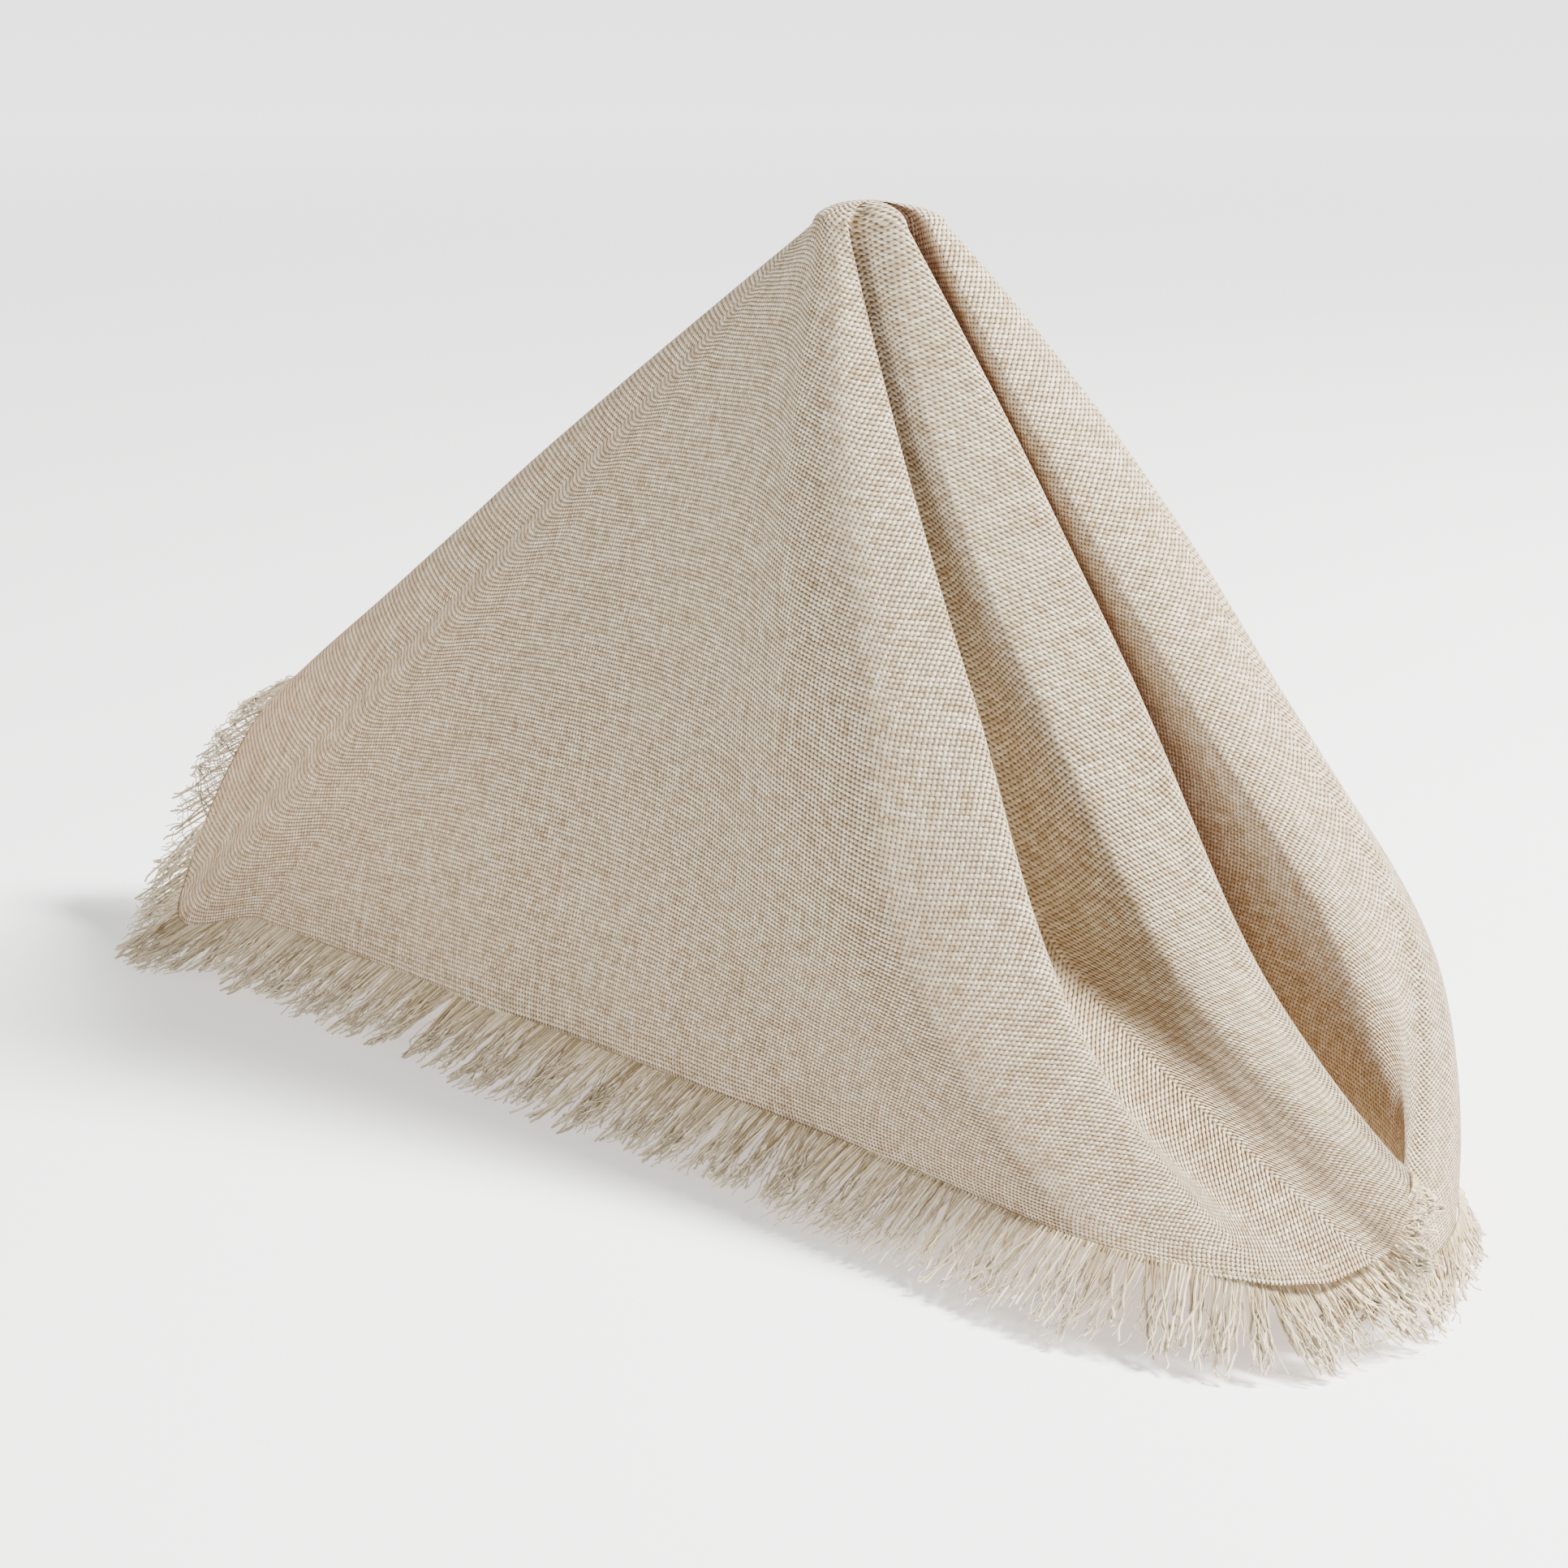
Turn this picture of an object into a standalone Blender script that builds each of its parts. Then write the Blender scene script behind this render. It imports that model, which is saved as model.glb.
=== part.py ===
"""Fringed square napkin, folded corner to corner twice and stood up as a small tent.

The cloth is one woven square. Its middle is the point of the tent and its four
fringed sides are the hem that it stands on. Each line of the fold table runs
from the point down to the hem, and the rows go once round the hem: along the
near side from corner A to corner B, across the front bulge and deep into the
inner pleat to corner C, back out through the valley to corner D, and home
along the far side over the soft back ridge.

Sizes are in metres in the mesh and in millimetres in the tables. +X is the
front, where the pleats open, and -Y is the near side.
"""

import math
from collections import namedtuple

import bpy
from mathutils import Vector

MM = 0.001

# The flat cloth
SIDE = 300.0            # woven square, edge to edge
ROUND_HEM = 4 * SIDE    # length of the whole hem
THICKNESS = 1.2         # the cloth with its loft

# The standing cloth
HEIGHT = 156.0          # point above the floor
DOME = 4.0              # rounded tip above the first level
SKIRT = 11.0            # woven edge above the floor, where it stands on its fringe
HOLLOW_TOP = 133.0      # the layers part below this height
LEVELS = (0.0, 0.5, 0.8, 1.0)

# Shift that brings the middle of the finished part over the origin
CENTRE_X = -2.7
CENTRE_Y = -4.5

# One fold line: its place on the flat hem, then its place in space at the
# tip, half way down, low down and at the woven edge, and the height where the
# wall below that edge ends.
Fold = namedtuple("Fold", "name flat tip half low hem foot")
FOLDS = (
    Fold("corner A", 0, (-10, -3), (-82, -22, 84), (-126, -36, 41), (-153, -46, 11), 0),
    Fold("near hem rear", 30, (-8, -5), (-64, -25, 83), (-99, -40, 39), (-122, -48, 12), 0),
    Fold("near hem back", 75, (-6, -7), (-40, -27, 82), (-62, -42, 40), (-70, -49, 12), 0),
    Fold("near hem middle", 150, (-3, -8), (-4, -29, 82), (-1, -43, 40), (12, -52, 12), 0),
    Fold("soft crease", 205, (-1, -8), (18, -30, 82), (39, -45, 38), (74, -54, 12), 0),
    Fold("roll one", 238, (1, -7), (36, -27, 82), (70, -45, 37), (116, -57, 12), 0),
    Fold("roll one edge", 262, (2, -6), (44, -19, 82), (91, -36, 35), (146, -53, 13), 1),
    Fold("roll one return", 282, (3, -5), (30, -14, 82), (67, -26, 35), (151, -47, 16), 9),
    Fold("bulge root", 300, (4, -4), (24, -10, 82), (61, -17, 37), (152, -40, 18), 13),
    Fold("bulge", 325, (6, -2), (40, -12, 82), (84, -17, 38), (149, -30, 20), 16),
    Fold("bulge edge", 350, (8, 0), (55, -3, 82), (95, -2, 38), (141, -18, 22), 19),
    Fold("bulge return", 372, (8, 2), (46, 4, 82), (84, 5, 38), (114, -6, 19), 15),
    Fold("inner near", 480, (7, 3), (0, 1, 83), (2, 0, 40), (16, -7, 11), 0),
    Fold("inner near back", 560, (5, 3), (-38, 0, 84), (-62, -3, 42), (-64, -8, 11), 0),
    Fold("corner C", 600, (4, 4), (-58, 4, 85), (-92, 3, 43), (-108, 2, 11), 0),
    Fold("inner far back", 640, (5, 5), (-38, 9, 84), (-62, 9, 42), (-64, 12, 11), 0),
    Fold("inner far", 740, (6, 5), (10, 12, 83), (16, 14, 40), (30, 12, 11), 0),
    Fold("valley", 840, (8, 5), (48, 15, 82), (80, 16, 38), (104, 7, 11), 0),
    Fold("roll four inside", 872, (9, 6), (62, 20, 82), (100, 17, 34), (134, -13, 11), 0),
    Fold("roll four", 900, (9, 7), (68, 29, 82), (109, 22, 32), (156, -39, 11), 0),
    Fold("roll four outside", 926, (7, 9), (60, 37, 82), (107, 32, 34), (151, -9, 11), 0),
    Fold("far hem front", 980, (2, 9), (32, 38, 84), (76, 44, 40), (104, 28, 11), 0),
    Fold("far hem middle", 1060, (-3, 9), (-10, 34, 86), (-10, 44, 44), (6, 46, 11), 0),
    Fold("far hem back", 1125, (-7, 7), (-46, 24, 94), (-66, 34, 58), (-62, 42, 17), 9),
    Fold("ridge far side", 1155, (-11, 4), (-70, 8, 101), (-104, 12, 73), (-120, 16, 43), 38),
    Fold("ridge", 1178, (-12, 0), (-82, -8, 105), (-128, -12, 74), (-158, -14, 50), 45),
)

# Rows of the mesh down a fold line, from the tip's rim to the woven edge
ROWS_DOWN = (0.0, 0.07, 0.14, 0.22, 0.31, 0.4, 0.5, 0.6, 0.7, 0.8, 0.88, 0.95, 1.0)
HOLLOW_ROW = 0.22       # first row of the hollow below its top
DOME_ANGLES = (62.0, 34.0, 12.0)
COLUMN_STEP = 11.0      # widest step of the mesh along the flat hem
LEAST_STEPS = 3         # fewest steps between two fold lines

# Fringe: a narrow strip outside the hem, and the locks that hang from it
GAP = 0.6               # between the strip and the cloth
STRIP_WIDE = 0.8
STRIP_TOP = 0.5         # strip's top and bottom, below the woven edge
STRIP_BOTTOM = 2.5
LOCK_WIDE = 1.9
LOCK_THICK = 0.7
STRIP_STEP = 6.0

# One run of fringe: where it starts and ends on the flat hem, the distance
# between its locks, how far they drop below the woven edge, and how far they
# spread and drift along the hem.
Run = namedtuple("Run", "node start end pitch drop spread drift")
RUNS = (
    Run("fringe_near", 12, 260, 4.2, 11.0, 9.5, -0.8),
    Run("fringe_front", 282, 350, 8.5, 3.2, 4.0, 1.0),
    Run("fringe_inner_near", 384, 578, 14.0, 11.0, 2.5, 0.0),
    Run("fringe_inner_far", 622, 820, 14.0, 11.0, 2.5, 0.0),
    Run("fringe_tongue", 884, 924, 4.2, 11.0, 6.0, 0.0),
    Run("fringe_far", 936, 1192, 4.2, 11.0, 8.0, 1.0),
)


def smooth_slopes(knots, values):
    """Slope at each knot, from the stretches on its two sides."""
    steps = [b - a for a, b in zip(knots, knots[1:])]
    rises = [(b - a) / h for a, b, h in zip(values, values[1:], steps)]
    slopes = [
        (rises[i - 1] * steps[i] + rises[i] * steps[i - 1]) / (steps[i - 1] + steps[i])
        for i in range(1, len(rises))
    ]
    return [rises[0] * 2 - slopes[0]] + slopes + [rises[-1] * 2 - slopes[-1]]


def smooth_value(knots, values, slopes, place):
    """The smooth curve through the knots, read at one place."""
    last = len(knots) - 2
    i = max(k for k in range(last + 1) if k == 0 or knots[k] <= place)
    step = knots[i + 1] - knots[i]
    s = (place - knots[i]) / step
    start = values[i] * ((1 + 2 * s) * (1 - s) ** 2) + slopes[i] * (step * s * (1 - s) ** 2)
    end = values[i + 1] * (s * s * (3 - 2 * s)) + slopes[i + 1] * (step * s * s * (s - 1))
    return start + end


class Ring:
    """One level of the cloth: a closed smooth curve through all fold lines."""

    def __init__(self, points):
        flats = [fold.flat for fold in FOLDS]
        self.knots = [flats[-2] - ROUND_HEM, flats[-1] - ROUND_HEM] + flats
        self.knots += [flats[0] + ROUND_HEM, flats[1] + ROUND_HEM]
        self.values = points[-2:] + points + points[:2]
        self.slopes = smooth_slopes(self.knots, self.values)

    def at(self, flat):
        return smooth_value(self.knots, self.values, self.slopes, flat % ROUND_HEM)


TIP_LEVEL = HEIGHT - DOME
RINGS = (
    Ring([Vector((*fold.tip, TIP_LEVEL)) for fold in FOLDS]),
    Ring([Vector(fold.half) for fold in FOLDS]),
    Ring([Vector(fold.low) for fold in FOLDS]),
    Ring([Vector(fold.hem) for fold in FOLDS]),
)
FOOT_RING = Ring([Vector((0.0, 0.0, fold.foot)) for fold in FOLDS])
TIP_MIDDLE = sum((Vector((*fold.tip, TIP_LEVEL)) for fold in FOLDS), Vector()) / len(FOLDS)


def cloth_point(flat, share):
    """A point of the cloth's outer face, a share of the way down a fold line."""
    values = [ring.at(flat) for ring in RINGS]
    values[-1].z = max(values[-1].z, SKIRT)
    return smooth_value(LEVELS, values, smooth_slopes(LEVELS, values), share)


def foot_point(flat):
    """The end of the wall straight below the woven edge."""
    point = cloth_point(flat, 1.0)
    point.z = max(0.0, min(FOOT_RING.at(flat).z, point.z - 2.0))
    return point


def share_at_height(flat, height):
    """How far down its fold line the cloth passes a height near the tip."""
    near, far = 0.0, 0.5
    for _ in range(30):
        middle = (near + far) / 2
        if cloth_point(flat, middle).z > height:
            near = middle
        else:
            far = middle
    return far


def column_places():
    """Places along the flat hem where the mesh has a column."""
    places = []
    flats = [fold.flat for fold in FOLDS] + [ROUND_HEM]
    for start, end in zip(flats, flats[1:]):
        steps = max(LEAST_STEPS, math.ceil((end - start) / COLUMN_STEP))
        places += [start + (end - start) * k / steps for k in range(steps)]
    return places


def outward(row, k):
    """Level direction out of the cloth at one column of a row."""
    along = row[(k + 1) % len(row)] - row[k - 1]
    return Vector((along.y, -along.x, 0.0)).normalized()


def wall_normals(rows):
    """Outward direction at every point of a grid of rows."""
    normals = []
    for r, row in enumerate(rows):
        above = rows[max(r - 1, 0)]
        below = rows[min(r + 1, len(rows) - 1)]
        line = []
        for k in range(len(row)):
            along = row[(k + 1) % len(row)] - row[k - 1]
            down = below[k] - above[k]
            line.append(down.cross(along).normalized())
        normals.append(line)
    return normals


def to_mesh(name, points, faces, color, roughness):
    """One object from points in millimetres."""
    mesh = bpy.data.meshes.new(name)
    shift = Vector((CENTRE_X, CENTRE_Y, 0.0))
    mesh.from_pydata([(p - shift) * MM for p in points], [], faces)
    mesh.update()
    mesh.shade_smooth()
    mesh.set_sharp_from_angle(angle=math.radians(50.0))
    mesh.materials.append(plain_material(name + "_finish", color, roughness))
    item = bpy.data.objects.new(name, mesh)
    bpy.context.scene.collection.objects.link(item)
    return item


def plain_material(name, color, roughness):
    """Principled material with a colour and a roughness."""
    material = bpy.data.materials.new(name)
    material.use_nodes = True
    shader = material.node_tree.nodes["Principled BSDF"]
    shader.inputs["Base Color"].default_value = (*color, 1.0)
    shader.inputs["Roughness"].default_value = roughness
    shader.inputs["Metallic"].default_value = 0.0
    return material


def ring_faces(upper, lower, count):
    """Quads between two rings of points, facing out of the loop."""
    faces = []
    for k in range(count):
        n = (k + 1) % count
        faces.append((upper + k, lower + k, lower + n, upper + n))
    return faces


def build_cloth():
    """The draped square: outer face, skirt, hollow inner face and bottom rim."""
    places = column_places()
    count = len(places)
    outer = [[cloth_point(flat, share) for flat in places] for share in ROWS_DOWN]
    skirt = [foot_point(flat) for flat in places]

    dome = []
    for degrees in DOME_ANGLES:
        angle = math.radians(degrees)
        lift = Vector((0.0, 0.0, DOME * math.sin(angle)))
        dome.append([TIP_MIDDLE + (p - TIP_MIDDLE) * math.cos(angle) + lift for p in outer[0]])

    start = [cloth_point(flat, share_at_height(flat, HOLLOW_TOP)) for flat in places]
    hollow = [start] + outer[ROWS_DOWN.index(HOLLOW_ROW):]
    inner = []
    for row, line in zip(hollow, wall_normals(hollow)):
        inner.append([p - n * THICKNESS for p, n in zip(row, line)])
    level = [outward(skirt, k) * THICKNESS for k in range(count)]
    inner[0] = [p - outward(start, k) * THICKNESS for k, p in enumerate(start)]
    inner[-1] = [p - n for p, n in zip(outer[-1], level)]
    inner_foot = [p - n for p, n in zip(skirt, level)]

    points = [TIP_MIDDLE + Vector((0.0, 0.0, DOME))]
    faces = []

    def add_row(row):
        points.extend(row)
        return len(points) - count

    ring = add_row(dome[0])
    faces += [(0, ring + k, ring + (k + 1) % count) for k in range(count)]
    for row in dome[1:] + outer + [skirt]:
        below = add_row(row)
        faces += ring_faces(ring, below, count)
        ring = below
    rows_up = [inner_foot] + inner[::-1]
    for row in rows_up:
        above = add_row(row)
        faces += ring_faces(ring, above, count)
        ring = above
    faces.append(tuple(ring + k for k in reversed(range(count))))
    return to_mesh("cloth", points, faces, (0.62, 0.56, 0.47), 0.9)


def hem_frame(flat):
    """Foot point under the woven edge, the direction along it and the way out."""
    step = 1.0
    here = RINGS[-1].at(flat)
    here.z = max(here.z, SKIRT)
    along = RINGS[-1].at(flat + step) - RINGS[-1].at(flat - step)
    along.z = 0.0
    along.normalize()
    return here, along, Vector((along.y, -along.x, 0.0))


def strip_ring(flat):
    """Four corners of the strip's section: inner low, outer low, outer high, inner high."""
    here, _, out = hem_frame(flat)
    near = here + out * GAP
    far = near + out * STRIP_WIDE
    low = Vector((0.0, 0.0, STRIP_BOTTOM))
    high = Vector((0.0, 0.0, STRIP_TOP))
    return [near - low, far - low, far - high, near - high]


def lock_rings(flat, run):
    """The lock's knee and tip, from the strip down to the floor."""
    here, along, out = hem_frame(flat)
    wave = 0.5 + 0.5 * math.sin(flat * 0.9)
    knee_out = GAP + run.spread * 0.35
    tip_out = GAP + run.spread * (0.85 + 0.15 * wave)
    drift = along * (run.drift * (0.6 + 0.8 * wave))
    half = along * (LOCK_WIDE * 0.45)
    foot = Vector((here.x, here.y, here.z - run.drop))
    centre = foot + out * knee_out + drift * 0.4
    near = centre - out * 0.5
    far = centre + Vector((0.0, 0.0, LOCK_THICK))
    knee = [near - half, near + half, far + half, far - half]
    tip = foot + out * tip_out + drift
    return knee, tip


def build_fringe(run):
    """A strip beside the hem with its locks fused along the lower edge."""
    locks = int((run.end - run.start) / run.pitch) + 1
    pitch = (run.end - run.start) / (locks - 1)
    stations = []
    for n in range(locks):
        centre = run.start + n * pitch
        stations.append((centre - LOCK_WIDE / 2, True))
        stations.append((centre + LOCK_WIDE / 2, False))
        room = pitch - LOCK_WIDE
        extra = int(room / STRIP_STEP)
        if n < locks - 1:
            for k in range(extra):
                stations.append((centre + LOCK_WIDE / 2 + room * (k + 1) / (extra + 1), False))

    points = []
    faces = []
    for flat, _ in stations:
        points.extend(strip_ring(flat))
    for s, (flat, has_lock) in enumerate(stations[:-1]):
        a, b = 4 * s, 4 * s + 4
        faces.append((a + 1, b + 1, b + 2, a + 2))
        faces.append((a + 2, b + 2, b + 3, a + 3))
        faces.append((a + 3, b + 3, b, a))
        if not has_lock:
            faces.append((a, b, b + 1, a + 1))
            continue
        root = (a, b, b + 1, a + 1)
        knee, tip = lock_rings(flat + LOCK_WIDE / 2, run)
        k = len(points)
        points.extend(knee)
        points.append(tip)
        for i in range(4):
            n = (i + 1) % 4
            faces.append((root[i], root[n], k + n, k + i))
            faces.append((k + i, k + n, k + 4))
    last = 4 * (len(stations) - 1)
    faces.append((0, 1, 2, 3))
    faces.append((last + 3, last + 2, last + 1, last))
    return to_mesh(run.node, points, faces, (0.66, 0.61, 0.53), 0.95)


def clear_scene():
    for item in list(bpy.data.objects):
        bpy.data.objects.remove(item, do_unlink=True)


def main():
    clear_scene()
    build_cloth()
    for run in RUNS:
        build_fringe(run)


main()
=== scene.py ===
# %% [markdown]
# # A fringed napkin, folded and stood up
# The object is one square of coarse linen-look cloth with fringed sides. It was
# folded corner to corner twice and stood on its hem, so its middle is the point
# of a small tent and the front opens in soft pleats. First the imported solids
# are loaded. They give the outline that the finished cloth has to keep.

import math

import bpy
import numpy as np
from mathutils import Matrix, Vector


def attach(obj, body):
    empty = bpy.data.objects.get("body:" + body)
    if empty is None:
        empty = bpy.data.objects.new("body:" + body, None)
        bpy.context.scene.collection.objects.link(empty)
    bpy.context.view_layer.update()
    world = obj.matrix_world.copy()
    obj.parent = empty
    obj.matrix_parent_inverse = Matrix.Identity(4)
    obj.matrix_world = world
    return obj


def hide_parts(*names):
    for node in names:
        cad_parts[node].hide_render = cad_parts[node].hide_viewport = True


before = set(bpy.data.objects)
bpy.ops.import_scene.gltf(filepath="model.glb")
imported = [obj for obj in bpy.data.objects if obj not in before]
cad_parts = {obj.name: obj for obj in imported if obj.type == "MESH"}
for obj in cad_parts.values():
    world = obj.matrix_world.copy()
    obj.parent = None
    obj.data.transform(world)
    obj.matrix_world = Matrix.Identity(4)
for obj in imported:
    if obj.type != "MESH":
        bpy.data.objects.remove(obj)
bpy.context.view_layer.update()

# %% [markdown]
# ## Sizes of the real thing
# A plain weave crosses two sets of yarns at right angles. In this cloth a yarn
# comes every 0.75 mm, so a 300 mm square has 400 yarns each way. The napkin is
# measured in millimetres here, and MM turns them into the metres of the scene.

# %% Real sizes
MM = 0.001
SIDE = 300.0
YARN_PITCH = 0.75
YARNS = SIDE / YARN_PITCH
ROUND_HEM = 4 * SIDE
print("yarns each way:", YARNS)
print("mm round the hem:", ROUND_HEM)

# %% [markdown]
# ## The fold table
# Each row is a line on the cloth from the point of the tent down to the hem. It
# has its place on the flat hem in mm, and where it passes at the tip (x, y) and
# half way, low down and at the woven edge (x, y, z). The rows go once round the
# hem, in and out of the pleat. A table like this can be set by hand against a
# picture, which a simulated drape can't.

# %% Fold table
FOLDS = (
    ("corner A", 0, (-10, -3), (-82, -22, 84), (-126, -36, 41), (-153, -46, 11)),
    ("near hem rear", 30, (-8, -5), (-64, -25, 83), (-99, -40, 39), (-122, -48, 12)),
    ("near hem back", 75, (-6, -7), (-40, -27, 82), (-62, -42, 40), (-70, -49, 12)),
    ("near hem middle", 150, (-3, -8), (-4, -29, 82), (-1, -43, 40), (12, -52, 12)),
    ("soft crease", 205, (-1, -8), (18, -30, 82), (39, -45, 38), (74, -54, 12)),
    ("roll one", 238, (1, -7), (36, -27, 82), (70, -46, 37), (118, -57, 12)),
    ("roll one edge", 262, (2, -6), (46, -18, 82), (94, -37, 35), (141, -50, 12)),
    ("roll one return", 282, (0, -4), (35, -17, 82), (70, -28, 35), (148, -42, 12)),
    ("bulge root", 300, (1, -3), (37, -10, 82), (69, -15, 37), (149, -32, 13)),
    ("bulge", 325, (6, -3), (50, -8, 82), (92, -12, 38), (149, -26, 17)),
    ("bulge edge", 350, (10, 0), (60, 5, 82), (97, 0, 38), (142, -16, 21)),
    ("bulge return", 372, (8, 2), (50, 9, 82), (86, 6, 38), (117, -6, 19)),
    ("inner near", 480, (3, 2), (0, 1, 83), (2, 0, 40), (16, -7, 11)),
    ("inner near back", 560, (0, 2), (-38, 0, 84), (-62, -3, 42), (-64, -8, 11)),
    ("corner C", 600, (-1, 3), (-58, 4, 85), (-92, 3, 43), (-108, 2, 11)),
    ("inner far back", 640, (0, 4), (-38, 9, 84), (-62, 9, 42), (-64, 12, 11)),
    ("inner far", 740, (3, 4), (10, 12, 83), (16, 14, 40), (30, 12, 11)),
    ("valley", 840, (8, 5), (44, 13, 82), (79, 12, 38), (104, 7, 11)),
    ("roll four inside", 872, (12, 4), (64, 11, 82), (108, 12, 34), (136, -12, 8)),
    ("roll four", 900, (12, 8), (68, 26, 82), (111, 20, 32), (151, -35, 7)),
    ("roll four outside", 926, (7, 9), (59, 35, 82), (107, 31, 34), (143, -9, 8)),
    ("far hem front", 980, (2, 9), (32, 38, 84), (76, 42, 40), (103, 26, 11)),
    ("far hem middle", 1060, (-3, 9), (-10, 34, 86), (-10, 44, 44), (6, 46, 11)),
    ("far hem back", 1125, (-7, 7), (-46, 24, 94), (-66, 34, 58), (-62, 42, 17)),
    ("ridge far side", 1155, (-11, 4), (-70, 8, 101), (-104, 12, 71), (-120, 16, 43)),
    ("ridge", 1178, (-12, 0), (-82, -8, 104), (-128, -12, 71), (-158, -14, 50)),
)
print("fold lines:", len(FOLDS))

# %% [markdown]
# ## Smooth curves through the table
# Cloth bends smoothly between its folds. A curve through uneven rows must not
# swing past them, so the slope at each row comes from the stretches on its two
# sides, weighted by how near they are, and a cubic joins one row to the next.


# %% Smooth curve
def slopes_at(knots, values):
    """Slope at each knot from the stretches beside it."""
    step = np.diff(knots)[:, None]
    rise = np.diff(values, axis=0) / step
    inner = (rise[:-1] * step[1:] + rise[1:] * step[:-1]) / (step[1:] + step[:-1])
    return np.concatenate([[rise[0] * 2 - inner[0]], inner, [rise[-1] * 2 - inner[-1]]])


def curve_at(knots, values, places):
    """Values of the smooth curve at many places."""
    slopes = slopes_at(knots, values)
    i = np.clip(np.searchsorted(knots, places, side="right") - 1, 0, len(knots) - 2)
    step = (knots[i + 1] - knots[i])[:, None]
    s = (places[:, None] - knots[i][:, None]) / step
    start = values[i] * ((1 + 2 * s) * (1 - s) ** 2) + slopes[i] * step * s * (1 - s) ** 2
    end = values[i + 1] * (s * s * (3 - 2 * s)) + slopes[i + 1] * step * s * s * (s - 1)
    return start + end


print("slopes through 0, 1, 4:", slopes_at(np.array([0.0, 1.0, 2.0]), np.array([[0.0], [1.0], [4.0]])).T)

# %% [markdown]
# ## Once round the hem
# The hem is a closed loop, so three rows from each end of the table are
# repeated beyond the other end. Then the curve has no seam where it closes.

# %% Closed loop
FLATS = np.array([fold[1] for fold in FOLDS], dtype=float)


def loop_at(values, flats, knots=FLATS):
    """The closed curve round the hem, at places on the flat hem."""
    around = np.concatenate([knots[-3:] - ROUND_HEM, knots, knots[:3] + ROUND_HEM])
    values = np.asarray(values, dtype=float)
    values = np.concatenate([values[-3:], values, values[:3]])
    return curve_at(around, values, np.mod(flats, ROUND_HEM))


def table_column(index):
    """One column of points of the fold table."""
    return np.array([fold[index] for fold in FOLDS], dtype=float)


print("hem at corner B:", loop_at(table_column(5), np.array([SIDE]))[0].round(1))

# %% [markdown]
# ## Creases and ripples
# Real cloth is never quite smooth. A crease runs from the tip to the hem, fades
# at both ends and has a soft bell shape across. Two pairs of crossed waves, one
# slow and one finer, ripple the rest. Together they push the cloth in or out by
# little more than a millimetre. The creases are placed one by one, because the eye
# knows where cloth pulls from its corners.

# %% Creases placed one by one
# name, flat place at the tip, flat place at the hem, half width and height in mm, from and to share
CREASES = (
    ("band on the near face", 196, 214, 9.0, 0.5, 0.05, 1.0),
    ("trough beside the band", 176, 184, 12.0, -0.3, 0.1, 0.9),
    ("pull from corner A", 40, 96, 16.0, 0.8, 0.35, 1.0),
    ("soft dent, near face", 110, 120, 22.0, -0.7, 0.3, 0.95),
    ("slack above corner B", 268, 276, 5.0, 0.5, 0.55, 1.0),
    ("crease along the bulge", 318, 330, 5.0, 0.7, 0.2, 0.9),
    ("crease beside the bulge edge", 340, 343, 4.0, -0.5, 0.3, 0.95),
    ("crease in the valley", 860, 858, 8.0, -0.6, 0.3, 1.0),
    ("band on roll four", 912, 908, 6.0, 0.6, 0.2, 0.95),
    ("pull on the far side", 1020, 1035, 14.0, 0.8, 0.3, 1.0),
    ("dent on the far side", 1085, 1090, 14.0, -0.8, 0.3, 1.0),
)
FADE_IN = 0.2
FADE_OUT = 0.15
TIP_CROWDING = 0.25
# height in mm, then a pair of crossed waves: radians for each mm of hem, radians down the fold, start
RIPPLES = (
    (0.32, (0.157, 5.0, 0.0), (0.0367, 9.0, 1.0)),
    (0.10, (0.42, 14.0, 2.0), (0.11, -17.0, 0.0)),
)
print("creases:", len(CREASES))


# %% Depth of creases and ripples
def crease_depth(flats, shares):
    """How far the creases and slow ripples push the cloth out, in mm."""
    depth = np.zeros((len(shares), len(flats)))
    t = np.clip(shares, 0.0, 1.0)[:, None]
    for _, tip, hem, width, height, start, end in CREASES:
        centre = tip + (hem - tip) * t
        across = (flats[None, :] - centre) * (TIP_CROWDING + (1 - TIP_CROWDING) * t)
        fade = np.clip((t - start) / FADE_IN, 0, 1) * np.clip((end + FADE_OUT - t) / FADE_OUT, 0, 1)
        depth += height * fade * np.exp(-((across / width) ** 2))
    for height, *waves in RIPPLES:
        one, two = (np.sin(flats[None, :] * turn + down * t + start) for turn, down, start in waves)
        depth += height * one * two * t
    return depth


# %% [markdown]
# ## The sheet
# The woven square becomes a fine grid: columns run from the tip to the hem and
# rows go round. Four curves, one for each level of the table, are joined by one
# more smooth curve down each column. The woven edge stays a little off the
# floor, because the fringe carries it.

# %% Points of the sheet
HEIGHT = 156.0
DOME = 4.0
HEM_LIFT = 6.0
LEVELS = np.array([0.0, 0.5, 0.8, 1.0])
COLUMNS = 720
ROWS = 92


def sheet_points(flats, shares):
    """Cloth points in mm for shares down the fold lines, an array [share][flat]."""
    tip = loop_at(np.column_stack([table_column(2), np.full(len(FOLDS), HEIGHT - DOME)]), flats)
    half, low, hem = (loop_at(table_column(c), flats) for c in (3, 4, 5))
    hem[:, 2] = np.maximum(hem[:, 2], HEM_LIFT)
    flat_values = np.stack([tip, half, low, hem]).reshape(len(LEVELS), -1)
    points = curve_at(LEVELS, flat_values, np.asarray(shares, dtype=float))
    return points.reshape(len(shares), len(flats), 3)


def push_out(points, depth):
    """Moves a grid of points along its outward normal."""
    along = np.roll(points, -1, axis=1) - np.roll(points, 1, axis=1)
    down = np.gradient(points, axis=0)
    normal = np.cross(down, along)
    normal /= np.linalg.norm(normal, axis=2, keepdims=True)
    return points + normal * depth[:, :, None]


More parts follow.
